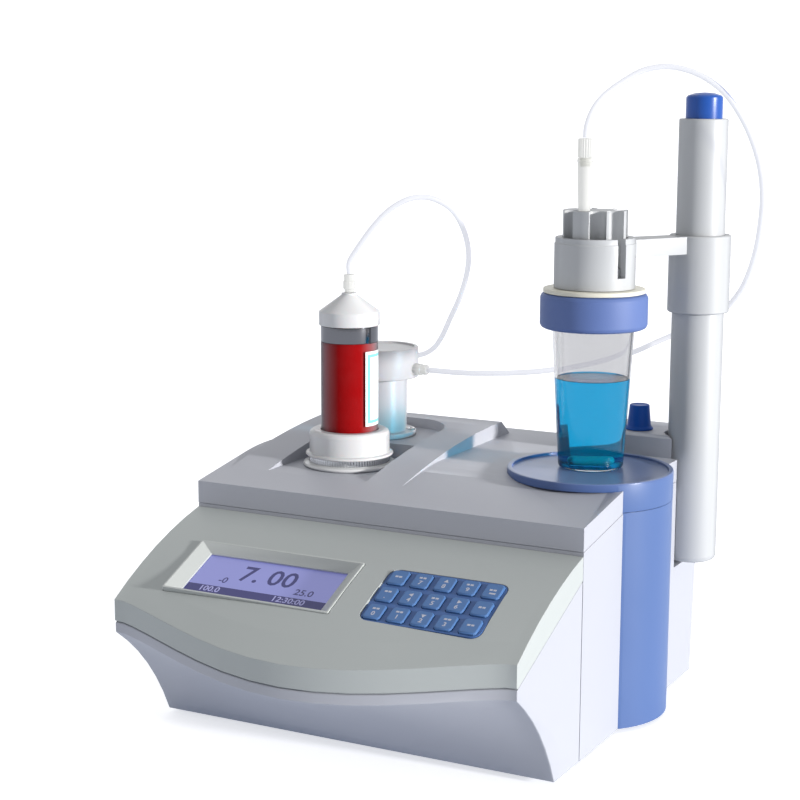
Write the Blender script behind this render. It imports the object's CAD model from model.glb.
"""Looks of the potentiometric titrator: camera, light, finishes and the fine surfaces that
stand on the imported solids. Places are in millimetres in the housing's own frame, whose origin
is under the front foot line in the middle of the case, and go to the row frame by spot()."""
import math

import bmesh
import bpy
import numpy as np
from mathutils import Matrix, Vector


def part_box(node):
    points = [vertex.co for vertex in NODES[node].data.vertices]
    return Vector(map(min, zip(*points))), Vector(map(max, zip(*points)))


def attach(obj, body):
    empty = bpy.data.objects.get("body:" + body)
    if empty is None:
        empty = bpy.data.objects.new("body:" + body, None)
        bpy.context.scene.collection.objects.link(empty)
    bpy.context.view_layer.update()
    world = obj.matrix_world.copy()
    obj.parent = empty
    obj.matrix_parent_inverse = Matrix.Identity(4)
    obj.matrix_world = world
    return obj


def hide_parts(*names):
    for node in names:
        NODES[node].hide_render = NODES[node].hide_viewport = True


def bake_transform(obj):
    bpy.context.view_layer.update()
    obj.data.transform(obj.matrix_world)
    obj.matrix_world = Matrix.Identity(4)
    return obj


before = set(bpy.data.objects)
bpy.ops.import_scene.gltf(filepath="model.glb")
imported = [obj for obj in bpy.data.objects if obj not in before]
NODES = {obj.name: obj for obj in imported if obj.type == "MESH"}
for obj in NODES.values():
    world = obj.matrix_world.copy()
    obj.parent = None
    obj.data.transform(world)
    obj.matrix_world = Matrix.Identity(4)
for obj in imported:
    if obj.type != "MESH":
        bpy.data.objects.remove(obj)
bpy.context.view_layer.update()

MM = 0.001

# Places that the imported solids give: the housing frame hangs on the stand tube's axis and on
# the underside of the case.
STAND = (155.0, 240.0)
tube_low, tube_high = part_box("stand_lower_tube")
case_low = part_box("rear_housing")[0]
ORIGIN = np.array([
    (tube_low[0] + tube_high[0]) / 2 - STAND[0] * MM,
    (tube_low[1] + tube_high[1]) / 2 - STAND[1] * MM,
    case_low[2],
])

# Axes of the round pieces, and the steps round them
HEAD = (105.4, 161.2)
TRAY = (108.6, 152.8)
TRAY_RADIUS = 58.6
BURETTE = (-70.0, 122.5)
VALVE = (-80.0, 188.0)
KNOB = (113.0, 238.0)
FINE = 128
SMALL = 48

# The direction square to the front panel
PANEL_OUT = np.array([0.0, -0.4, 0.9165])

# Camera: its place, how it is turned in degrees, and its lens in pixels of the photograph
CAMERA_PLACE = (581.13, -1029.241, 443.763)
HEADING, DIP, ROLL = 27.9, 10.332, 0.17524
PICTURE = 800
FOCAL_LENGTH = 1824.564
LENS_MIDDLE = (399.119, 413.136)
SENSOR = 36.0

# Light: the direction to the backdrop; the strengths of the room and of its front, of the
# backdrop, of the light from above and of the key light; the spans of direction over which
# the first three come in; where the key light stands and how wide it is, in degrees
BACKWARD = (-0.468, 0.884, 0.0)
ROOM, FRONT_ROOM, ROOM_SPAN = 0.62, 0.28, (-0.9, 0.3)
BACKDROP, BACKDROP_SPAN = 0.75, (0.80, 0.93)
OVERHEAD, OVERHEAD_SPAN = 0.28, (0.5, 0.95)
AIR_COLOUR = (0.97, 0.98, 1.0, 1)
KEY_COLOUR = (1.0, 0.985, 0.965)
KEY_LIGHT = 4.6
KEY_AZIMUTH, KEY_HEIGHT, KEY_WIDTH = -3, 9.5, 4.5


def spot(points):
    """Millimetres in the housing frame to metres in the row frame."""
    return np.asarray(points, float) * MM + ORIGIN


def srgb(red, green, blue):
    """A colour read as 0 to 255 values, as linear light."""
    c = np.array([red, green, blue]) / 255.0
    linear = np.where(c <= 0.04045, c / 12.92, ((c + 0.055) / 1.055) ** 2.4)
    return (*[float(v) for v in linear], 1.0)


def linked(name, data):
    """A new object in the scene."""
    item = bpy.data.objects.new(name, data)
    bpy.context.scene.collection.objects.link(item)
    return item


# Camera and light

def make_camera():
    """The camera stands in front and to the right and looks back, left and a little down. Its
    axes come from the heading, the dip and a small roll, all found from the edges of the case."""
    heading, dip, roll = math.radians(HEADING), math.radians(DIP), math.radians(ROLL)
    ahead = np.array([
        -math.sin(heading) * math.cos(dip),
        math.cos(heading) * math.cos(dip),
        -math.sin(dip),
    ])
    right = np.array([math.cos(heading), math.sin(heading), 0.0])
    up = np.cross(right, ahead)
    side = right * math.cos(roll) + up * math.sin(roll)
    top = up * math.cos(roll) - right * math.sin(roll)
    data = bpy.data.cameras.new("view_camera")
    data.sensor_width = SENSOR
    data.lens = SENSOR * FOCAL_LENGTH / PICTURE
    data.shift_x = (PICTURE / 2 - LENS_MIDDLE[0]) / PICTURE
    data.shift_y = (LENS_MIDDLE[1] - PICTURE / 2) / PICTURE
    data.clip_start = 0.05
    data.clip_end = 50
    camera = linked("view_camera", data)
    turn = Matrix(np.column_stack([side, top, -ahead]).tolist()).to_4x4()
    camera.matrix_world = Matrix.Translation(spot(CAMERA_PLACE)) @ turn
    bpy.context.scene.camera = camera


def make_light():
    """A low key light from the right in an even pale room, with a bright backdrop behind the
    object and a darker room in front of it. The camera itself sees white all round."""
    scene = bpy.context.scene
    scene.view_settings.view_transform = "Standard"
    world = bpy.data.worlds.new("pale_room")
    world.use_nodes = True
    tree = world.node_tree
    air = tree.nodes["Background"]
    air.inputs["Color"].default_value = AIR_COLOUR
    way = wire(tree, "ShaderNodeTexCoord").outputs["Generated"]
    facing = wire(tree, "ShaderNodeVectorMath", {0: way, 1: BACKWARD}, operation="DOT_PRODUCT")
    backward = facing.outputs["Value"]
    upward = wire(tree, "ShaderNodeSeparateXYZ", {0: way}).outputs["Z"]
    smooth = {"interpolation_type": "SMOOTHSTEP"}
    room = mapped(tree, backward, ROOM_SPAN, (FRONT_ROOM, ROOM))
    behind = mapped(tree, backward, BACKDROP_SPAN, (0.0, BACKDROP), **smooth)
    above = mapped(tree, upward, OVERHEAD_SPAN, (0.0, OVERHEAD), **smooth)
    level = combined(tree, room, behind, "ADD")
    total = combined(tree, level, above, "ADD")
    path = wire(tree, "ShaderNodeLightPath")
    seen = combined(tree, total, path.outputs["Is Camera Ray"], "MAXIMUM")
    tree.links.new(seen, air.inputs["Strength"])
    scene.world = world
    key = bpy.data.lights.new("key_light", "SUN")
    key.energy = KEY_LIGHT
    key.angle = math.radians(KEY_WIDTH)
    key.color = KEY_COLOUR
    lamp = linked("key_light", key)
    azimuth, height = math.radians(KEY_AZIMUTH), math.radians(KEY_HEIGHT)
    toward = Vector((
        math.cos(azimuth) * math.cos(height), math.sin(azimuth) * math.cos(height),
        math.sin(height),
    ))
    lamp.rotation_euler = toward.to_track_quat("Z", "Y").to_euler()


# Finishes, with the depths of grain and waves in millimetres: how far gloss varies on moulded
# pieces, and how clouds and the rim share in the liquid behind glass

GLOSS_SPREAD = 0.1
RIM_CLOUD = 0.06
RIM_EDGE = (0.08, 0.6)

# The light through the cup's liquid goes white between these heights
NEARLY_WHITE = (0.95, 0.98, 1.0, 1)
PASSING_FADE = (ORIGIN[2] + 206 * MM, ORIGIN[2] + 230 * MM)


def wire(tree, kind, feeds=None, **settings):
    """A node with its settings. Each feed goes to an input, by the socket's name or number: a
    socket of another node, or a plain value."""
    node = tree.nodes.new(kind)
    for label, value in settings.items():
        setattr(node, label, value)
    for socket, feed in (feeds or {}).items():
        if isinstance(feed, bpy.types.NodeSocket):
            tree.links.new(feed, node.inputs[socket])
        else:
            node.inputs[socket].default_value = feed
    return node


def combined(tree, first, second, operation):
    """The socket with two values added, or whatever the operation makes of them."""
    return wire(tree, "ShaderNodeMath", {0: first, 1: second}, operation=operation).outputs[0]


def scaled(tree, value, factor, base):
    """The socket with a value times a factor, on top of a base."""
    feeds = {0: value, 1: factor, 2: base}
    return wire(tree, "ShaderNodeMath", feeds, operation="MULTIPLY_ADD").outputs[0]


def mapped(tree, value, source, target=(0.0, 1.0), **settings):
    """The socket with a value carried from the source range over to the target range."""
    return wire(tree, "ShaderNodeMapRange", {
        "Value": value, "From Min": source[0], "From Max": source[1],
        "To Min": target[0], "To Max": target[1],
    }, **settings).outputs[0]


def clouds(tree, scale, detail, stretch=None):
    """The socket with slow or fine noise in the piece's own place, stretched by axis."""
    place = wire(tree, "ShaderNodeTexCoord").outputs["Object"]
    if stretch:
        place = wire(tree, "ShaderNodeMapping", {"Vector": place, "Scale": stretch}).outputs[0]
    feeds = {"Vector": place, "Scale": scale, "Detail": detail}
    return wire(tree, "ShaderNodeTexNoise", feeds).outputs["Fac"]


def make_grain_group():
    """Moulded plastic grain: fine noise for the bump, slow clouds for the tone and rubbed
    patches for the gloss. Puts out the toned colour, a roughness and a bump height."""
    group = bpy.data.node_groups.new("moulded_grain", "ShaderNodeTree")
    for side, labels in (
        ("INPUT", ("Scale", "Cloud", "Roughness", "Spread", "Color")),
        ("OUTPUT", ("Color", "Roughness", "Height")),
    ):
        for label in labels:
            kind = "NodeSocketColor" if label == "Color" else "NodeSocketFloat"
            group.interface.new_socket(label, in_out=side, socket_type=kind)
    source = group.nodes.new("NodeGroupInput")
    sink = group.nodes.new("NodeGroupOutput")
    fine = clouds(group, source.outputs["Scale"], 3.0)
    slow = combined(group, clouds(group, 9.0, 4.0), 0.5, "SUBTRACT")
    swing = scaled(group, slow, source.outputs["Cloud"], 1.0)
    tone = wire(group, "ShaderNodeVectorMath", {
        0: source.outputs["Color"], "Scale": swing,
    }, operation="SCALE")
    rub = combined(group, clouds(group, 38.0, 6.0), 0.5, "SUBTRACT")
    rough = scaled(group, rub, source.outputs["Spread"], source.outputs["Roughness"])
    group.links.new(tone.outputs[0], sink.inputs["Color"])
    group.links.new(rough, sink.inputs["Roughness"])
    group.links.new(fine, sink.inputs["Height"])
    return group


def plain_material(name):
    """A new material with its shader node and its tree."""
    material = bpy.data.materials.new(name)
    material.use_nodes = True
    tree = material.node_tree
    return material, tree, tree.nodes["Principled BSDF"]


def set_values(shader, fixed):
    """Plain values on the shader's own sockets, by label with _ for a space."""
    for label, value in fixed.items():
        shader.inputs[label.replace("_", " ")].default_value = value


def blended(tree, share, first, second):
    """The colour socket of a mix that goes from the first colour to the second."""
    feeds = {"Factor": share, 6: first, 7: second}
    return wire(tree, "ShaderNodeMix", feeds, data_type="RGBA").outputs[2]


def edge_share(tree, start, end):
    """How far a surface is seen along its length: 0 where it is seen squarely, 1 at its edge."""
    weight = wire(tree, "ShaderNodeLayerWeight", {"Blend": 0.5})
    return mapped(tree, weight.outputs["Facing"], (start, end))


def let_light_pass(tree, shader, colour, fade=None, faint=False):
    """Light on its way to or from something dull goes straight through and takes the colour
    along. With a fade, the colour thins out to white between the two heights. A faint piece is
    hardly seen through another clear piece."""
    path = wire(tree, "ShaderNodeLightPath")
    passed = path.outputs["Is Shadow Ray"]
    for kind in ("Is Diffuse Ray", "Is Transmission Ray") if faint else ("Is Diffuse Ray",):
        passed = combined(tree, passed, path.outputs[kind], "MAXIMUM")
    straight = wire(tree, "ShaderNodeBsdfTransparent", {"Color": colour})
    if fade:
        place = wire(tree, "ShaderNodeTexCoord").outputs["Object"]
        height = wire(tree, "ShaderNodeSeparateXYZ", {0: place}).outputs["Z"]
        thinned = blended(tree, mapped(tree, height, fade), colour, NEARLY_WHITE)
        tree.links.new(thinned, straight.inputs["Color"])
    mixed = wire(tree, "ShaderNodeMixShader", {
        0: passed, 1: shader.outputs[0], 2: straight.outputs[0],
    })
    tree.links.new(mixed.outputs[0], tree.nodes["Material Output"].inputs["Surface"])


def moulded(name, colour, roughness, scale=900.0, depth=0.01, cloud=0.05, top=None, rim=None,
            passing=None, **fixed):
    """Moulded plastic: its own colour with slow clouds, uneven gloss and a fine grain. With a
    top colour, faces that look up are worn to that colour; with a rim colour, the piece is
    darker towards its outline; with a passing colour, it lets light through."""
    material, tree, shader = plain_material(name)
    grain = wire(tree, "ShaderNodeGroup", {
        "Scale": scale, "Cloud": cloud, "Roughness": roughness, "Spread": GLOSS_SPREAD,
        "Color": colour,
    }, node_tree=GRAIN)
    if top:
        normal = wire(tree, "ShaderNodeNewGeometry").outputs["Normal"]
        upward = wire(tree, "ShaderNodeSeparateXYZ", {0: normal}).outputs["Z"]
        tree.links.new(blended(tree, upward, colour, top), grain.inputs["Color"])
    if rim:
        edge = edge_share(tree, 0.5, 0.95)
        tree.links.new(blended(tree, edge, colour, rim), grain.inputs["Color"])
    if passing:
        let_light_pass(tree, shader, passing, faint=True)
    bump = wire(tree, "ShaderNodeBump", {"Height": grain.outputs["Height"], "Distance": depth * MM})
    tree.links.new(grain.outputs["Color"], shader.inputs["Base Color"])
    tree.links.new(grain.outputs["Roughness"], shader.inputs["Roughness"])
    tree.links.new(bump.outputs["Normal"], shader.inputs["Normal"])
    set_values(shader, fixed)
    return material


def clear_material(name, colour, ior, waves=0.0, scale=60.0, passing=None, fade=None,
                   rim=None, edge=(0.45, 0.95), gloss=1.0):
    """Clear plastic, glass or liquid, with faint waves in its surface, that light passes in
    the passing colour. With a rim colour, the piece darkens where its wall is seen along its
    length. Gloss is how much the surface mirrors."""
    material, tree, shader = plain_material(name)
    set_values(shader, {
        "Base Color": colour, "Transmission Weight": 1.0, "IOR": ior,
        "Specular Tint": (gloss, gloss, gloss, 1),
    })
    if rim:
        darkened = blended(tree, edge_share(tree, *edge), colour, rim)
        tree.links.new(darkened, shader.inputs["Base Color"])
    noise = clouds(tree, scale, 2.0)
    tree.links.new(scaled(tree, noise, 0.03, 0.0), shader.inputs["Roughness"])
    if waves:
        bump = wire(tree, "ShaderNodeBump", {"Height": noise, "Distance": waves * MM})
        tree.links.new(bump.outputs["Normal"], shader.inputs["Normal"])
    let_light_pass(tree, shader, passing or colour, fade)
    return material


def rimmed(name, middle, rim, roughness, **fixed):
    """A deep coloured liquid behind glass: its own colour where it is looked at squarely,
    greyer towards its sides, with slow clouds."""
    material, tree, shader = plain_material(name)
    noise = clouds(tree, 70.0, 3.0)
    cloudy = scaled(tree, noise, RIM_CLOUD, edge_share(tree, *RIM_EDGE))
    tree.links.new(blended(tree, cloudy, middle, rim), shader.inputs["Base Color"])
    tree.links.new(scaled(tree, noise, 0.08, roughness), shader.inputs["Roughness"])
    set_values(shader, fixed)
    return material


def bright_floor(name, colour, glow, sheen):
    """A pale table top that the camera sees as clean white, also through clear pieces, and
    that gives a little cool light back to the pieces above it."""
    material, tree, shader = plain_material(name)
    tree.links.new(scaled(tree, clouds(tree, 60.0, 3.0), 0.1, 0.75), shader.inputs["Roughness"])
    path = wire(tree, "ShaderNodeLightPath")
    seen = combined(
        tree, path.outputs["Is Camera Ray"], path.outputs["Is Transmission Ray"], "MAXIMUM",
    )
    tint = blended(tree, seen, sheen, (glow, glow, glow, 1))
    tree.links.new(tint, shader.inputs["Emission Color"])
    set_values(shader, {
        "Base Color": colour, "Specular IOR Level": 0.1, "Emission Strength": 1.0,
    })
    return material


def metal(name, colour, roughness, spread=0.1):
    """Turned or polished metal, with fine marks round the axis."""
    material, tree, shader = plain_material(name)
    noise = clouds(tree, 40.0, 5.0, stretch=(1.0, 1.0, 60.0))
    shade = scaled(tree, noise, 0.12, 0.92)
    tone = wire(tree, "ShaderNodeVectorMath", {0: colour[:3], "Scale": shade}, operation="SCALE")
    bump = wire(tree, "ShaderNodeBump", {"Height": noise, "Distance": 0.02 * MM})
    tree.links.new(tone.outputs[0], shader.inputs["Base Color"])
    tree.links.new(scaled(tree, noise, spread, roughness), shader.inputs["Roughness"])
    tree.links.new(bump.outputs["Normal"], shader.inputs["Normal"])
    set_values(shader, {"Metallic": 1.0})
    return material


# Surfaces. Points closer than the weld become one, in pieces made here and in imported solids,
# in metres. A profile point nearer the axis than ON_AXIS lies on it, in millimetres. A rounded
# corner takes at most a share of its shorter side, and a nearly straight one, by half its
# angle in radians, stays as it is. Facets are merged where they are flatter than the flat
# angle, in degrees.

WELD = 2e-6
SOLID_WELD = 1e-5
ON_AXIS = 1e-6
LONGEST_SHARE = 0.45
NEARLY_STRAIGHT = 1.5
LEAST_TANGENT, LEAST_AREA = 1e-6, 1e-12
FLAT_ANGLE = 0.5


def mesh_piece(name, points, faces, finish, sharp=32.0):
    """A mesh object from point and face arrays, with doubled points merged, faces outwards and
    smooth shading up to the sharp angle."""
    mesh = bpy.data.meshes.new(name)
    mesh.from_pydata(np.asarray(points).tolist(), [], [list(map(int, face)) for face in faces])
    shape = bmesh.new()
    shape.from_mesh(mesh)
    bmesh.ops.remove_doubles(shape, verts=shape.verts, dist=WELD)
    bmesh.ops.recalc_face_normals(shape, faces=shape.faces)
    shape.to_mesh(mesh)
    shape.free()
    mesh.shade_smooth()
    mesh.set_sharp_from_angle(angle=math.radians(sharp))
    mesh.materials.append(finish)
    return linked(name, mesh)


def grid_faces(rows, columns, wrap_rows=False, wrap_columns=False):
    """Quads over a grid of points, row by row, wrapped where the surface closes on itself."""
    last_row = rows if wrap_rows else rows - 1
    last_column = columns if wrap_columns else columns - 1
    i, j = np.meshgrid(np.arange(last_row), np.arange(last_column), indexing="ij")
    below, beside = (i + 1) % rows, (j + 1) % columns
    quads = np.stack([
        i * columns + j, below * columns + j, below * columns + beside, i * columns + beside,
    ], -1)
    return quads.reshape(-1, 4)


def softened(outline, radii, steps=4):
    """An outline with its corners rounded: each corner becomes an arc whose ends lie one
    tangent length back along both sides, at most a share of the shorter side."""
    corners = np.asarray(outline, float)
    radii = np.broadcast_to(np.asarray(radii, float), len(corners))
    rounded = []
    for k, corner in enumerate(corners):
        to_last = corners[k - 1] - corner
        to_next = corners[(k + 1) % len(corners)] - corner
        last_length, next_length = np.linalg.norm(to_last), np.linalg.norm(to_next)
        reach = min(last_length, next_length) * LONGEST_SHARE
        cosine = to_last @ to_next / (last_length * next_length + LEAST_AREA)
        half = math.acos(max(-1.0, min(1.0, cosine))) / 2
        tangent = min(radii[k] / max(math.tan(half), LEAST_TANGENT), reach)
        if radii[k] <= 0 or half > NEARLY_STRAIGHT or corner[0] < ON_AXIS:
            rounded.append(corner[None])
            continue
        start = corner + to_last / last_length * tangent
        end = corner + to_next / next_length * tangent
        t = np.linspace(0, 1, steps + 1)[:, None]
        rounded.append((1 - t) ** 2 * start + 2 * t * (1 - t) * corner + t**2 * end)
    return np.vstack(rounded)


def turned(name, outline, centre, finish, body=None, node=None, steps=FINE, radii=0.0,
           corner_steps=4, closed=True, grooves=None):
    """A turned surface: point (i, j) is outline point i, at radius r and height z, set round
    the axis at angle a = 2 pi j / steps. Grooves beyond a radius take half their depth times
    (1 - cos (count a)) off r. The piece rides on a body, if one is named, and may stand for a
    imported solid."""
    line = np.asarray(outline, float)
    if np.any(np.asarray(radii) > 0):
        line = softened(line, radii, corner_steps)
    angle = np.arange(steps) * math.tau / steps
    radius = np.repeat(line[:, :1], steps, axis=1)
    height = np.repeat(line[:, 1:2], steps, axis=1)
    if grooves:
        beyond, half_depth, count = grooves
        cut = half_depth * (1 - np.cos(angle * count))
        radius = np.where(radius > beyond, radius - cut, radius)
    x = centre[0] + radius * np.cos(angle)
    y = centre[1] + radius * np.sin(angle)
    points = spot(np.stack([x, y, height], -1).reshape(-1, 3))
    on_axis = line[0, 0] < ON_AXIS and line[-1, 0] < ON_AXIS
    faces = grid_faces(len(line), steps, wrap_rows=closed and not on_axis, wrap_columns=True)
    piece = mesh_piece(name, points, faces, FINISH[finish])
    if body:
        fit(piece, body, node)
    return piece


def refined(name, node, body, finish, width=0.5, segments=2, angle=35.0):
    """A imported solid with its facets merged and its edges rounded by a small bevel, for a
    piece whose form is right and whose edges are soft."""
    shape = bmesh.new()
    shape.from_mesh(NODES[node].data)
    bmesh.ops.remove_doubles(shape, verts=shape.verts, dist=SOLID_WELD)
    bmesh.ops.dissolve_limit(
        shape, angle_limit=math.radians(FLAT_ANGLE), verts=shape.verts, edges=shape.edges,
        use_dissolve_boundaries=False,
    )
    mesh = bpy.data.meshes.new(name)
    shape.to_mesh(mesh)
    shape.free()
    mesh.shade_smooth()
    mesh.set_sharp_from_angle(angle=math.radians(angle))
    mesh.materials.append(FINISH[finish])
    piece = linked(name, mesh)
    bevel = piece.modifiers.new("soft_edges", "BEVEL")
    bevel.width = width * MM
    bevel.segments = segments
    bevel.limit_method = "ANGLE"
    bevel.angle_limit = math.radians(angle)
    bevel.harden_normals = True
    bevel.use_clamp_overlap = True
    fit(piece, body, node)


def fit(piece, body, node=None):
    """The piece rides on a body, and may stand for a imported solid."""
    if node:
        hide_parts(node)
    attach(piece, body)


# Tubes

TUBE_RADIUS = 2.0
TUBE_SIDES = 20
TUBE_STEP = 2.5
SPAN_STEPS = 24

BURETTE_ROUTE = (
    (-70, 122.5, 305.5), (-70, 122.5, 314), (-64.5, 123.2, 323), (-53.6, 125, 338),
    (-43, 129, 350.5), (-32.4, 135, 358.5), (-23.7, 142, 361.3), (-15.4, 150, 359.8),
    (-7.8, 162, 352.4),
    (-4.8, 175, 339.2), (-6.8, 190, 321.1), (-14.1, 204, 303.9), (-27.3, 220, 282.7),
    (-45, 237, 260.6), (-58, 250.5, 245.5), (-68.5, 259, 235), (-76.5, 260, 229.3),
    (-79.7, 252, 228), (-80, 242, 228), (-80, 229, 228),
)
DOSING_ROUTE = (
    (-39, 188, 228), (-28, 188, 228), (-14, 189.3, 227.8), (1, 192.6, 228), (29, 204, 229),
    (52, 217, 231.3), (77, 236, 236), (99, 253, 242.5), (115, 266, 250.5), (131, 274.5, 258.5),
    (150, 279, 267.5), (164, 279, 278), (176, 274.5, 292.5), (184.4, 268, 308.5),
    (190.9, 260.5, 326), (195.4, 252.5, 342.5), (198.6, 245, 359), (199.6, 238, 375.5),
    (197.8, 230.5, 393), (192.4, 222, 412), (183.5, 213.5, 430), (174, 207.5, 441),
    (162, 201.5, 449), (149, 195.5, 453.2), (138.5, 190, 453.6), (127.5, 183.5, 450.6),
    (117.5, 175, 443.5), (109.2, 165.3, 435.2), (105.4, 155.3, 426.8), (104.0, 148.2, 418.5),
    (103.6, 144.4, 411.5), (103.6, 143.8, 405.7),
)


def smooth_line(points):
    """A smooth line through the route's points: each span is a cubic with slopes taken from
    its neighbours, read again at even steps."""
    knots = np.array(points, float)
    slopes = np.gradient(knots, axis=0)
    t = np.linspace(0, 1, SPAN_STEPS, endpoint=False)[None, :, None]
    a, b = knots[:-1, None], knots[1:, None]
    ma, mb = slopes[:-1, None], slopes[1:, None]
    spans = ((2 * t**3 - 3 * t**2 + 1) * a + (t**3 - 2 * t**2 + t) * ma
             + (3 * t**2 - 2 * t**3) * b + (t**3 - t**2) * mb)
    dense = np.vstack([spans.reshape(-1, 3), knots[-1:]])
    reach = np.concatenate([[0], np.cumsum(np.linalg.norm(np.diff(dense, axis=0), axis=1))])
    stops = np.linspace(0, reach[-1], int(reach[-1] / TUBE_STEP) + 1)
    return np.stack([np.interp(stops, reach, dense[:, k]) for k in range(3)], axis=1), reach[-1]


def tube_mesh(name, line):
    """A tube swept along a line: at each point a circle lies square to the line, with its
    first radius carried along from the point before so that the tube doesn't twist."""
    ahead = np.gradient(line, axis=0)
    ahead /= np.linalg.norm(ahead, axis=1, keepdims=True)
    across = np.zeros_like(line)
    first = np.cross(ahead[0], (0.3, 0.5, 0.8))
    across[0] = first / np.linalg.norm(first)
    for k in range(1, len(line)):
        carried = across[k - 1] - ahead[k] * (across[k - 1] @ ahead[k])
        across[k] = carried / np.linalg.norm(carried)
    upward = np.cross(ahead, across)
    angle = (np.arange(TUBE_SIDES) * math.tau / TUBE_SIDES)[None, :, None]
    ring = across[:, None] * np.cos(angle) + upward[:, None] * np.sin(angle)
    points = np.concatenate([
        np.repeat(line[:1, None], TUBE_SIDES, 1), line[:, None] + ring * TUBE_RADIUS,
        np.repeat(line[-1:, None], TUBE_SIDES, 1),
    ])
    faces = grid_faces(len(points), TUBE_SIDES, wrap_columns=True)
    return mesh_piece(name, spot(points.reshape(-1, 3)), faces, FINISH["tube"], sharp=60)


def stretched(piece):
    """The piece stretches between two bodies, from a place on the first to one on the second."""
    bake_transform(piece)


def make_tubes():
    """The two thin tubes: burette to valve, and valve to the dispensing tip. The second one
    stretches as the head is lifted."""
    for name, node, route in (
        ("burette_line", "burette_tube", BURETTE_ROUTE),
        ("dosing_line", "dosing_tube", DOSING_ROUTE),
    ):
        line, length = smooth_line(route)
        piece = tube_mesh(name, line)
        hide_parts(node)
        if node == "dosing_tube":
            stretched(piece)
        else:
            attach(piece, "housing")


# Case

def make_case():
    """The grey case: panel, base, rear part, cover, and the blue crescent shell beside it."""
    for name, node, finish, width in (
        ("front_panel_skin", "front_panel", "panel", 0.5),
        ("front_base_skin", "front_base", "case", 0.5),
        ("rear_housing_skin", "rear_housing", "case", 0.35),
        ("top_cover_skin", "top_cover", "case", 0.6),
        ("stirrer_shell_skin", "stirrer_shell", "blue", 0.25),
        ("keypad_mat", "keypad_frame", "mat", 0.4),
        ("bezel_frame", "display_bezel", "silver", 0.3),
    ):
        refined(name, node, "housing", finish, width)
    for row, line in enumerate(KEY_SIGNS):
        for column in range(len(line)):
            node = key_name(row, column)
            refined(node + "_cap", node, key_body(node), "keys", width=0.35)


def make_plain_nodes():
    """Inner and hidden pieces keep their solids and get their own finishes."""
    for node, finish in (
        ("bottom_plate", "sheet_steel"), ("front_board", "board"), ("main_board", "board"),
        ("power_supply", "sheet_steel"), ("stirrer_motor", "sheet_steel"),
        ("drive_magnet", "magnet"), ("burette_drive", "sheet_steel"),
        ("rear_connectors", "black"), ("power_rocker", "black"),
        ("valve_rotor", "ptfe"), ("fitting_burette", "clear_white"),
        ("fitting_valve_side", "clear_white"), ("fitting_valve_rear", "clear_white"),
        ("display_window", "screen"),
    ):
        NODES[node].data.materials.clear()
        NODES[node].data.materials.append(FINISH[finish])


# Marks on the keys and on the display: the signs of each key from the top row, and sizes on
# the key's or the display's face

ARROW = {"up": 90, "left": 180, "right": 0, "down": 270}
KEY_SIGNS = (
    (("bar", ""), ("bar", "7"), ("up", "8"), ("bar", "9"), ("bars", "")),
    (("bar", "."), ("left", "4"), ("bar", "5"), ("right", "6"), ("bar", "")),
    (("bar", "0"), ("bar", "1"), ("down", "2"), ("bar", "3"), ("bar", "")),
)
MARK_DEPTH = 0.05
FACE_DEPTH = 0.05
FACING_SHARE = 0.97
STROKE_SHARE = 0.014
SIGN_RISE, LONE_SIGN_RISE = 2.4, 0.4
ARROW_RADIUS = 2.0
HALF_BAR, BAR_SHIFT = (1.05, 0.8), 1.35
LOWER_BAR, LOWER_BAR_SHIFT = (2.2, 0.7), (0.8, -3.0)
NUMERAL_SIZE, NUMERAL_DROP = 5.4, -2.6
SCREEN_HALF = (54.5, 20.2)
SCREEN_LAYERS = (0.01, 0.03, 0.05)
FOOT_BAR_HEIGHT = 9.6


def raised_outline(points, low, high):
    """A flat outline with a thickness: corner rings at both heights, one face below, one above,
    and a quad for each side."""
    count = len(points)
    flat = np.asarray(points, float)
    corners = np.vstack([np.column_stack([flat, np.full(count, z)]) for z in (low, high)])
    sides = [[k, (k + 1) % count, count + (k + 1) % count, count + k] for k in range(count)]
    return corners, [list(range(count))[::-1], list(range(count, 2 * count))] + sides


def raised_text(numbers, size, low, high):
    """Plain numerals with a thickness, made a mesh before they are placed."""
    curve = bpy.data.curves.new("numerals", "FONT")
    curve.body = numbers
    curve.size = size
    curve.offset = size * STROKE_SHARE
    curve.align_x = "CENTER"
    curve.align_y = "CENTER"
    curve.resolution_u = 3
    curve.extrude = (high - low) / 2
    item = bpy.data.objects.new("numerals", curve)
    mesh = bpy.data.meshes.new_from_object(item)
    corners = np.zeros(len(mesh.vertices) * 3)
    mesh.vertices.foreach_get("co", corners)
    corners = corners.reshape(-1, 3) + (0, 0, (low + high) / 2)
    faces = [list(face.vertices) for face in mesh.polygons]
    bpy.data.objects.remove(item)
    bpy.data.curves.remove(curve)
    bpy.data.meshes.remove(mesh)
    return corners, faces


def marks(name, parts, face, finish):
    """Raised marks on a sloping face: local (x, y, z) goes to the face's middle + x across + y
    up the slope + z outwards. Each part is its corners, its faces and its shift on the face."""
    centre, outward = face
    along = np.array([0.0, outward[2], -outward[1]])
    all_corners, all_faces, count = [], [], 0
    for corners, faces, shift in parts:
        local = np.asarray(corners, float) + (*shift, 0)
        across = local[:, :1] * (1.0, 0.0, 0.0)
        all_corners.append(centre + across + local[:, 1:2] * along + local[:, 2:] * outward)
        all_faces += [[count + k for k in face_corners] for face_corners in faces]
        count += len(corners)
    return mesh_piece(name, spot(np.vstack(all_corners)), all_faces, finish, sharp=30)


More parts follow.
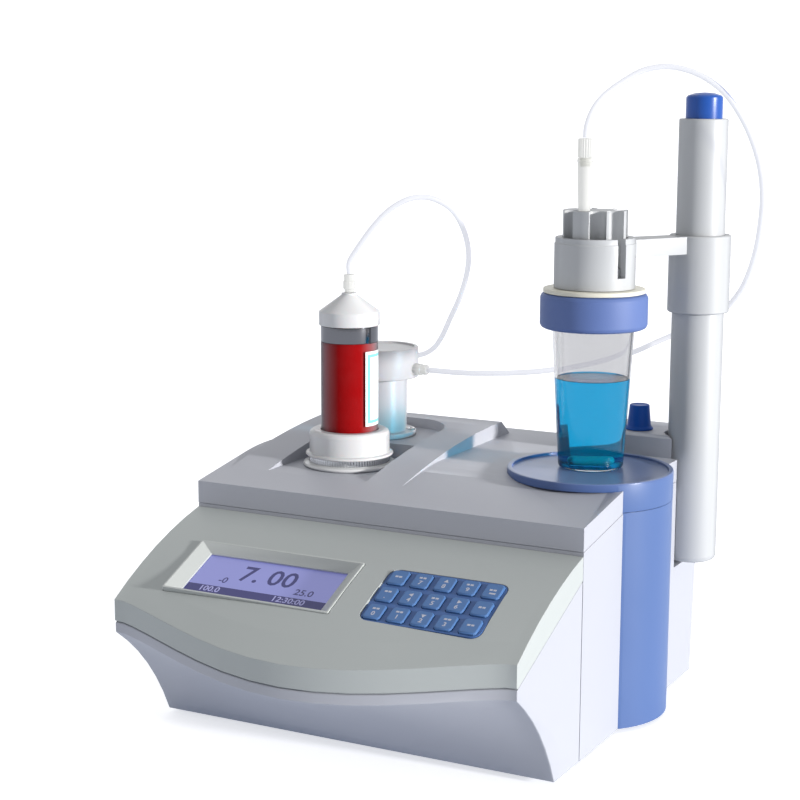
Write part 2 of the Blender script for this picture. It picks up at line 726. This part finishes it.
def sloping_face(node):
    """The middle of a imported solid's largest face on the front panel's side, in the housing
    frame, and the direction square to it."""
    mesh = NODES[node].data
    turn = np.array(NODES[node].matrix_world)
    corners = np.zeros(len(mesh.vertices) * 3)
    mesh.vertices.foreach_get("co", corners)
    places = (corners.reshape(-1, 3) @ turn[:3, :3].T + turn[:3, 3] - ORIGIN) / MM
    areas = np.zeros(len(mesh.polygons))
    mesh.polygons.foreach_get("area", areas)
    normals = np.zeros(len(mesh.polygons) * 3)
    mesh.polygons.foreach_get("normal", normals)
    normals = normals.reshape(-1, 3) @ turn[:3, :3].T
    outward = normals[np.argmax(areas * (normals @ PANEL_OUT > FACING_SHARE))]
    out = places @ outward
    top = places[out > out.max() - FACE_DEPTH]
    return (top.min(0) + top.max(0)) / 2, outward


def key_name(row, column):
    """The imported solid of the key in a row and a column, both counted from 0."""
    return f"key_row{row + 1}_column{column + 1}"


def key_body(node):
    """The moving body of a key."""
    return node.replace("key_", "key_body_")


def bar_outline(half_width, half_height):
    """The corners of an upright bar round its middle."""
    return (
        (-half_width, -half_height), (half_width, -half_height),
        (half_width, half_height), (-half_width, half_height),
    )


def make_key_marks():
    """A small sign and a numeral on each key: an arrow or a plain short bar above the numeral."""
    for row, line in enumerate(KEY_SIGNS):
        for column, (sign, numeral) in enumerate(line):
            node = key_name(row, column)
            rise = SIGN_RISE if numeral else LONE_SIGN_RISE
            parts = []
            if sign in ARROW:
                turn = math.radians(ARROW[sign]) + np.arange(3) * math.tau / 3
                triangle = np.stack([np.cos(turn), np.sin(turn)], -1) * ARROW_RADIUS
                parts.append((*raised_outline(triangle, 0.0, MARK_DEPTH), (0, rise)))
            else:
                for side in (-1, 1):
                    bar = raised_outline(bar_outline(*HALF_BAR), 0.0, MARK_DEPTH)
                    parts.append((*bar, (side * BAR_SHIFT, rise)))
            if sign == "bars":
                lower = raised_outline(bar_outline(*LOWER_BAR), 0.0, MARK_DEPTH)
                parts.append((*lower, LOWER_BAR_SHIFT))
            if numeral:
                lettering = raised_text(numeral, NUMERAL_SIZE, 0.0, MARK_DEPTH)
                parts.append((*lettering, (0, NUMERAL_DROP)))
            fit(marks(node + "_mark", parts, sloping_face(node), FINISH["mark"]), key_body(node))


def make_display_marks():
    """What the display shows: a large numeral, two small ones, and a dark bar along its foot
    with light numerals."""
    face = sloping_face("display_window")
    half_width, half_length = SCREEN_HALF
    bar_middle = (0, FOOT_BAR_HEIGHT / 2 - half_length)
    low, middle, high = SCREEN_LAYERS
    bar = raised_outline(bar_outline(half_width, FOOT_BAR_HEIGHT / 2), low, middle)
    dark = [(*bar, bar_middle)]
    dark += [(*raised_text(numbers, size, low, middle), shift) for numbers, size, shift in (
        ("7. 00", 22.0, (0.0, 5.4)), ("-0", 8.4, (-31.0, -3.6)), ("25.0", 8.4, (33.0, -4.6)),
    )]
    light = [(*raised_text(numbers, size, middle, high), shift) for numbers, size, shift in (
        ("100.0", 7.4, (-36.0, -14.3)), ("12:30:00", 7.4, (26.0, -14.3)),
    )]
    fit(marks("display_dark_marks", dark, face, FINISH["display_ink"]), "housing")
    fit(marks("display_light_marks", light, face, FINISH["display_glow"]), "housing")


# Burette, valve, stirrer, stand, head: grooves by the radius beyond which they lie, half their
# depth and their count; then places and sizes of single pieces

KNURL = (29.0, 0.3, 90)
RIBS = (4.0, 0.22, 18)
SHEET_STEPS = 48
LABEL_RADIUS, LABEL_THICKNESS = 21.05, 0.08
FRAME_RADIUS, FRAME_THICKNESS = 21.14, 0.04
SCREW_CIRCLE, SCREW_TURNS = 24.3, (20.0, 140.0, 260.0)
BAND_INNER, BAND_OUTER, CASE_SIDE_X = 55.8, 58.64, 147.2
CAPSULE_LENGTH, CAPSULE_RADIUS, CAPSULE_TURN, CAPSULE_Z = 26.0, 3.4, 28, 178.8
TIP_CIRCLE, TIP_TURN = 17.5, -95.8
CUP_FOOT, CUP_MOUTH = (21.6, 175.1), (27.8, 283.3)
CUP_LEVEL = 238.0


def bent(name, section, centre, angle, finish):
    """A closed section bent round an axis: point (i, j) is section point i, at radius r and
    height z, at angle j; the two ends are closed by a face each."""
    line = np.concatenate([section, section[:1]])
    steps, count = len(angle), len(section)
    x = centre[0] + line[:, :1] * np.cos(angle)
    y = centre[1] + line[:, :1] * np.sin(angle)
    points = np.stack([x, y, np.repeat(line[:, 1:2], steps, 1)], -1)
    ends = [[k * steps for k in range(count)], [k * steps + steps - 1 for k in range(count)]]
    faces = list(grid_faces(count + 1, steps)) + ends
    return mesh_piece(name, spot(points.reshape(-1, 3)), faces, finish)


def make_label_sheet(name, radius, span, low, high, finish, thickness):
    """A thin sheet on the barrel, between two angles in degrees and two heights."""
    outer = radius + thickness
    section = np.array(((radius, low), (outer, low), (outer, high), (radius, high)))
    angle = np.radians(np.linspace(*span, SHEET_STEPS))
    fit(bent(name, section, BURETTE, angle, finish), "housing")


def make_burette():
    """The piston burette from its seat to its cap, with the red liquid inside and the white
    label on the glass."""
    turned("burette_seat_dish", (
        (5.9, 164.5), (33.3, 164.5), (34.3, 165.7), (33.7, 166.9), (30.4, 167.9), (28.8, 167.4),
        (5.9, 167.4),
    ), BURETTE, "satin_metal", "housing", "burette_seat", radii=(0, 0.6, 0.6, 0.5, 0.4, 0, 0))
    turned("burette_seat_knurl", (
        (5.9, 167.4), (30.0, 167.4), (30.0, 171.9), (5.9, 171.9),
    ), BURETTE, "chrome", "housing", steps=720, grooves=KNURL)
    turned("burette_collar_body", (
        (5.8, 172.2), (31.4, 172.2), (32.5, 173.1), (31.95, 174.3), (29.6, 174.9), (29.6, 188.2),
        (28.6, 190.4), (26.6, 191.4), (21.4, 191.4), (21.4, 175.7), (5.8, 175.7),
    ), BURETTE, "white", "housing", "burette_collar",
        radii=(0, 0.5, 0.5, 0.4, 0.6, 1.4, 1.6, 1.6, 0.4, 0, 0))
    turned("burette_barrel", (
        (19.0, 176.0), (21.0, 176.0), (21.0, 256.2), (19.0, 256.2),
    ), BURETTE, "glass", "housing", "burette_glass", radii=0.3)
    turned("burette_neck", (
        (19.0, 256.5), (21.0, 256.5), (21.0, 268.1), (19.0, 268.1),
    ), BURETTE, "dark_chrome", "housing", "burette_neck_ring", radii=0.3)
    turned("burette_cap_body", (
        (19.0, 268.4), (22.2, 268.4), (22.2, 278.4), (5.7, 290.4), (5.7, 291.8), (1.2, 291.8),
        (1.2, 278.4), (19.0, 272.4),
    ), BURETTE, "white", "housing", "burette_cap", radii=(0.2, 0.5, 1.2, 1.2, 0.4, 0.2, 0, 0))
    turned("burette_piston_body", (
        (0, 91.3), (5.5, 91.3), (5.5, 176.3), (18.7, 176.3), (18.7, 179.8), (17.5, 180.3),
        (17.5, 182.3), (18.7, 182.8), (18.7, 186.3), (0, 186.3),
    ), BURETTE, "ptfe", "piston", "burette_piston",
        radii=(0, 0.2, 0, 0.2, 0.2, 0.1, 0.1, 0.2, 0.2, 0), closed=False)
    liquid = turned("burette_liquid", (
        (0, 186.6), (19.1, 186.6), (19.1, 256.4), (18.9, 256.6), (18.9, 271.0), (0, 277.0),
    ), BURETTE, "red_liquid", closed=False)
    stretched(
        liquid,
    )
    make_label_sheet(
        "burette_label", LABEL_RADIUS, (-27, 66), 195.5, 250.5, FINISH["label"], LABEL_THICKNESS,
    )
    for side, span, low, high in (
        ("left", (-22.0, -15.0), 197.7, 248.3), ("right", (54.0, 61.0), 197.7, 248.3),
        ("foot", (-15.0, 54.0), 197.7, 199.8), ("head", (-15.0, 54.0), 246.2, 248.3),
    ):
        make_label_sheet(
            f"burette_label_{side}", FRAME_RADIUS, span, low, high, FINISH["label_blue"],
            FRAME_THICKNESS,
        )


def beside(axis, distance, turn):
    """The axis of a small round piece that stands beside a larger one, at a turn in degrees."""
    way = math.radians(turn)
    return axis[0] + distance * math.cos(way), axis[1] + distance * math.sin(way)


def make_valve():
    """The three-way valve's post with its screws, and its head."""
    turned("valve_post_body", (
        (4.3, 175.5), (27.8, 175.5), (27.8, 179.1), (20.6, 179.1), (20.6, 220.3), (4.3, 220.3),
    ), VALVE, "white", "housing", "valve_post", radii=(0, 0.4, 0.8, 0.6, 0.3, 0))
    turned("valve_head_body", (
        (0, 232.9), (16.3, 232.9), (16.3, 220.6), (29.3, 220.6), (29.3, 243.7), (26.3, 243.7),
        (26.3, 242.5), (0, 242.5),
    ), VALVE, "white", "housing", "valve_head", radii=(0, 0, 0, 0.9, 0.9, 0.4, 0.5, 0),
        closed=False)
    for number, turn in enumerate(SCREW_TURNS):
        turned(f"valve_screw_{number + 1}", (
            (0, 178.6), (3.0, 178.6), (3.0, 180.0), (2.2, 180.7), (1.3, 180.7), (1.3, 179.8),
            (0, 179.6),
        ), beside(VALVE, SCREW_CIRCLE, turn), "chrome", "housing", steps=SMALL,
            radii=(0, 0, 0.4, 0.3, 0, 0, 0), closed=False)


def make_capsule():
    """The stirring capsule: two round ends on a straight rod, turned round its own length. A
    profile point at radius r and length l lies l along the capsule, r cos a beside it and
    r sin a above it."""
    reach = CAPSULE_LENGTH / 2 - CAPSULE_RADIUS
    arc = np.linspace(0, math.pi / 2, 9)
    across, bulge = CAPSULE_RADIUS * np.sin(arc), CAPSULE_RADIUS * np.cos(arc)
    profile = np.concatenate([
        np.stack([across, -reach - bulge], -1), np.stack([bulge, reach + across], -1),
    ])
    profile[0, 0] = profile[-1, 0] = 0
    angle = np.arange(SMALL) * math.tau / SMALL
    along = np.repeat(profile[:, 1:2], SMALL, 1)
    side = profile[:, :1] * np.cos(angle)
    rise = profile[:, :1] * np.sin(angle)
    turn = math.radians(CAPSULE_TURN)
    x = HEAD[0] + along * math.cos(turn) - side * math.sin(turn)
    y = HEAD[1] + along * math.sin(turn) + side * math.cos(turn)
    points = np.stack([x, y, CAPSULE_Z + rise], -1)
    faces = grid_faces(len(profile), SMALL, wrap_columns=True)
    points = spot(points.reshape(-1, 3))
    return mesh_piece("stirring_capsule", points, faces, FINISH["ptfe"], sharp=60)


def make_stirrer():
    """The blue tray with its rim, the crescent band under it, the capsule in the cup, and the
    speed knob."""
    turned("tray_disc", (
        (0, 169.1), (TRAY_RADIUS, 169.1), (TRAY_RADIUS, 174.8), (55.2, 174.8), (55.2, 172.8),
        (0, 172.8),
    ), TRAY, "tray_blue", "housing", "stir_tray", steps=192, radii=(0, 0.4, 0.9, 0.7, 0.6, 0),
        closed=False)
    half = math.acos((CASE_SIDE_X - TRAY[0]) / BAND_OUTER)
    section = softened((
        (BAND_INNER, 154.6), (BAND_OUTER, 154.6), (BAND_OUTER, 173.7), (BAND_INNER, 171.9),
    ), (0.3, 0.4, 0.1, 0.1), 3)
    fit(bent("tray_band", section, TRAY, np.linspace(-half, half, 64), FINISH["blue"]), "housing")
    fit(make_capsule(), "stirring_bar", "stir_bar")
    turned("speed_knob_body", (
        (0, 178.6), (3.0, 178.6), (3.0, 188.6), (10.4, 188.6), (10.4, 189.4), (8.8, 191.4),
        (7.3, 206.6), (6.7, 207.0), (6.3, 206.5), (0, 206.5),
    ), KNOB, "dark_blue", "knob", "speed_knob", steps=96,
        radii=(0, 0, 0, 0.3, 0.4, 1.8, 0.3, 0.2, 0.2, 0), closed=False)


def make_stand():
    """The stand's tube, mast, sleeve with its arm, and the button."""
    turned("stand_tube", (
        (0, 94.0), (14.75, 94.0), (17.75, 95.3), (18.75, 98.0), (18.75, 278.7), (16.65, 278.7),
        (16.65, 98.0), (0, 98.0),
    ), STAND, "white_grey", "housing", "stand_lower_tube", radii=(0, 1.4, 1.4, 1.2, 0.5, 0.2, 0, 0),
        closed=False)
    turned("stand_mast_body", (
        (8.2, 200.0), (16.35, 200.0), (16.35, 279.0), (17.5, 279.0), (17.5, 417.7), (13.4, 417.7),
        (13.4, 395.7), (8.2, 395.7),
    ), STAND, "white_grey", "housing", "stand_mast", radii=(0, 0.3, 0, 0, 1.2, 0.3, 0, 0))
    refined("lift_arm_body", "lift_arm", "carriage", "white_grey", width=1.2,
            segments=3, angle=40)
    turned("stand_button", (
        (0, 402.7), (13.1, 402.7), (13.1, 432.7), (11.8, 434.1), (7.2, 435.6), (0, 436.2),
    ), STAND, "button_blue", "button", "release_button", steps=96, radii=(0, 0.2, 1.2, 0.8, 2.0, 0),
        closed=False)


def make_head():
    """The titration head: body, plate, ring, holder, tip, fitting, cup and its liquid."""
    refined("head_body", "titration_head", "carriage", "white_grey", segments=3,
            angle=40)
    refined("holder_body", "electrode_holder", "carriage", "white_grey", width=0.35,
            angle=40)
    turned("head_plate_body", (
        (24.0, 298.2), (30.0, 298.2), (30.0, 283.6), (33.9, 283.6), (33.9, 298.2), (35.8, 298.2),
        (35.8, 301.2), (24.0, 301.2),
    ), HEAD, "cream", "carriage", "head_plate", radii=(0, 0, 0.2, 0.2, 0, 0.5, 0.8, 0))
    turned("cup_ring_body", (
        (30.0, 273.0), (34.8, 273.0), (36.8, 274.0), (37.8, 276.0), (37.8, 294.9), (36.8, 296.9),
        (34.8, 297.9), (34.3, 297.9), (34.3, 280.0), (30.0, 280.0),
    ), HEAD, "ring_blue", "ring", "cup_ring", radii=(0.3, 1.0, 1.6, 1.6, 1.6, 1.6, 1.0, 0.1, 0, 0))
    tip_axis = beside(HEAD, TIP_CIRCLE, TIP_TURN)
    turned("dispensing_tip_body", (
        (0, 285.0), (1.6, 285.0), (1.6, 355.9), (4.1, 355.9), (5.2, 389.0), (5.6, 389.75),
        (5.2, 392.0), (3.0, 392.0), (3.0, 386.0), (0, 386.0),
    ), tip_axis, "clear_white", "carriage", "dispensing_tip", steps=SMALL,
        radii=(0, 0.2, 0, 0.5, 0.3, 0.3, 0.3, 0.2, 0, 0), closed=False)

    turned("tip_nut", (
        (0, 386.6), (2.7, 386.6), (2.7, 392.3), (5.1, 392.3), (5.1, 404.7), (4.5, 405.3),
        (0, 405.3),
    ), tip_axis, "clear_white", "carriage", "tip_fitting", steps=144,
        radii=(0, 0, 0, 0.3, 0.3, 0.2, 0), closed=False, grooves=RIBS)
    turned("cup_body", (
        (0, 173.1), (23.1, 173.1), (29.3, 280.3), (33.8, 280.3), (33.8, 283.3), CUP_MOUTH,
        CUP_FOOT, (0, 175.1),
    ), HEAD, "clear_cup", "carriage", "sample_cup", radii=(0, 3.6, 0.3, 0.3, 0.3, 0.4, 3.0, 0),
        corner_steps=8, closed=False)
    wall = np.interp(CUP_LEVEL, (CUP_FOOT[1], CUP_MOUTH[1]), (CUP_FOOT[0], CUP_MOUTH[0]))
    turned("cup_liquid", (
        (0, 175.0), (21.68, 175.0), (wall + 0.08, CUP_LEVEL), (wall - 1.2, CUP_LEVEL - 0.8),
        (0, CUP_LEVEL - 0.9),
    ), HEAD, "blue_liquid", "carriage", radii=(0, 3.0, 0.2, 0.8, 0), corner_steps=8, closed=False)


# Table top, in metres: half its side, and its height just under the feet
FLOOR_HALF = 40.0
FLOOR_Z = -0.0002


def make_floor():
    """A plain pale table top."""
    corners = [(*corner, FLOOR_Z) for corner in bar_outline(FLOOR_HALF, FLOOR_HALF)]
    mesh = bpy.data.meshes.new("table_top")
    mesh.from_pydata(corners, [], [(0, 1, 2, 3)])
    mesh.materials.append(FINISH["floor"])
    linked("table_top", mesh)


make_camera()
GRAIN = make_grain_group()
FINISH = {
    "case": moulded("case_grey_skin", srgb(173, 175, 183), 0.5, scale=1500, depth=0.012),
    "panel": moulded("panel_grey_skin", srgb(172, 177, 176), 0.5, scale=1500, depth=0.012),
    "blue": moulded("stirrer_blue_skin", srgb(75, 101, 152), 0.38, scale=1400, cloud=0.08),
    "tray_blue": moulded(
        "tray_blue_skin", srgb(74, 98, 150), 0.3, scale=1400, depth=0.006, cloud=0.08,
        top=srgb(108, 124, 162), Specular_IOR_Level=0.4,
    ),
    "ring_blue": moulded(
        "ring_blue_skin", srgb(84, 106, 160), 0.55, scale=1000, depth=0.06, cloud=0.12,
    ),
    "dark_blue": moulded(
        "knob_blue_skin", srgb(4, 78, 168), 0.45, scale=1300, cloud=0.1, Specular_IOR_Level=0.3,
    ),
    "button_blue": moulded("button_blue_skin", srgb(24, 78, 162), 0.3, scale=1300, cloud=0.1),
    "keys": moulded("key_rubber_skin", srgb(72, 112, 166), 0.5, scale=1800, cloud=0.08),
    "mat": moulded("key_mat_skin", srgb(62, 96, 152), 0.55, scale=1800, cloud=0.08),
    "mark": moulded("key_mark_skin", srgb(186, 188, 200), 0.6, depth=0.004, cloud=0.06),
    "white": moulded(
        "white_gloss_skin", srgb(207, 207, 208), 0.3, scale=700, cloud=0.03,
        rim=srgb(160, 160, 163), Subsurface_Weight=0.08, Subsurface_Scale=0.002,
    ),
    "white_grey": moulded(
        "white_satin_skin", srgb(181, 183, 185), 0.42, scale=1200, cloud=0.03,
        rim=srgb(140, 142, 145),
    ),
    "cream": moulded("cream_skin", srgb(214, 211, 196), 0.45, cloud=0.04),
    "ptfe": moulded(
        "translucent_white_skin", srgb(222, 223, 218), 0.28, scale=700, cloud=0.04,
        Subsurface_Weight=0.3, Subsurface_Scale=0.004,
    ),
    "tube": moulded(
        "tube_skin", (0.62, 0.63, 0.67, 1), 0.35, scale=300, depth=0.001, cloud=0.03,
        rim=(0.50, 0.51, 0.57, 1), passing=(0.93, 0.93, 0.95, 1), Transmission_Weight=0.65,
        IOR=1.25,
    ),
    "clear_white": moulded(
        "clear_white_skin", (0.60, 0.60, 0.58, 1), 0.42, scale=500, depth=0.004, cloud=0.04,
        rim=(0.50, 0.50, 0.47, 1), passing=(0.9, 0.9, 0.88, 1), Transmission_Weight=0.55, IOR=1.3,
    ),
    "black": moulded("black_plastic_skin", srgb(30, 30, 32), 0.45, scale=1500, cloud=0.1),
    "board": moulded("board_green_skin", srgb(40, 110, 70), 0.5, scale=400, depth=0.02, cloud=0.2),
    "magnet": moulded(
        "magnet_grey_skin", srgb(90, 92, 96), 0.4, scale=600, depth=0.02, cloud=0.2, Metallic=0.6,
    ),
    "screen": moulded(
        "screen_skin", srgb(128, 132, 186), 0.16, scale=3000, depth=0.001, cloud=0.04,
        Emission_Color=srgb(160, 162, 238), Emission_Strength=0.22,
    ),
    "display_ink": moulded("display_ink_skin", srgb(62, 62, 122), 0.3, scale=3000, depth=0.001),
    "display_glow": moulded("display_glow_skin", srgb(178, 178, 232), 0.3, scale=3000, depth=0.001),
    "silver": moulded(
        "silver_skin", srgb(186, 190, 188), 0.3, scale=2000, cloud=0.04, Metallic=0.1,
    ),
    "label": moulded("label_skin", srgb(236, 240, 240), 0.5, depth=0.004, cloud=0.04),
    "label_blue": moulded("label_blue_skin", srgb(120, 200, 214), 0.5, depth=0.004, cloud=0.06),
    "floor": bright_floor("table_skin", srgb(228, 229, 232), 0.6, (0.14, 0.17, 0.23, 1)),
    "chrome": metal("chrome_skin", srgb(214, 215, 216), 0.12, spread=0.06),
    "satin_metal": moulded(
        "satin_metal_skin", srgb(220, 221, 222), 0.3, scale=1400, depth=0.006, Metallic=0.2,
    ),
    "dark_chrome": metal("dark_chrome_skin", srgb(122, 122, 125), 0.1, spread=0.05),
    "sheet_steel": metal("sheet_steel_skin", srgb(170, 172, 175), 0.3),
    "glass": clear_material(
        "barrel_glass", (0.95, 0.95, 0.95, 1), 1.16, rim=(0.10, 0.09, 0.10, 1), edge=(0.45, 0.85),
        gloss=0.0,
    ),
    "clear_cup": clear_material(
        "cup_clear", (0.70, 0.70, 0.71, 1), 1.35, waves=0.1, scale=30,
        passing=(0.92, 0.92, 0.93, 1), rim=(0.42, 0.42, 0.44, 1), edge=(0.6, 0.95),
    ),
    "red_liquid": rimmed(
        "red_liquid", srgb(150, 2, 5), srgb(140, 124, 128), 0.2, Specular_IOR_Level=0.0,
    ),
    "blue_liquid": clear_material(
        "blue_liquid", srgb(4, 196, 255), 1.3, passing=srgb(15, 185, 205), fade=PASSING_FADE,
    ),
}
make_tubes()
make_light()
make_floor()
make_case()
make_plain_nodes()
make_key_marks()
make_display_marks()
make_burette()
make_valve()
make_stirrer()
make_stand()
make_head()
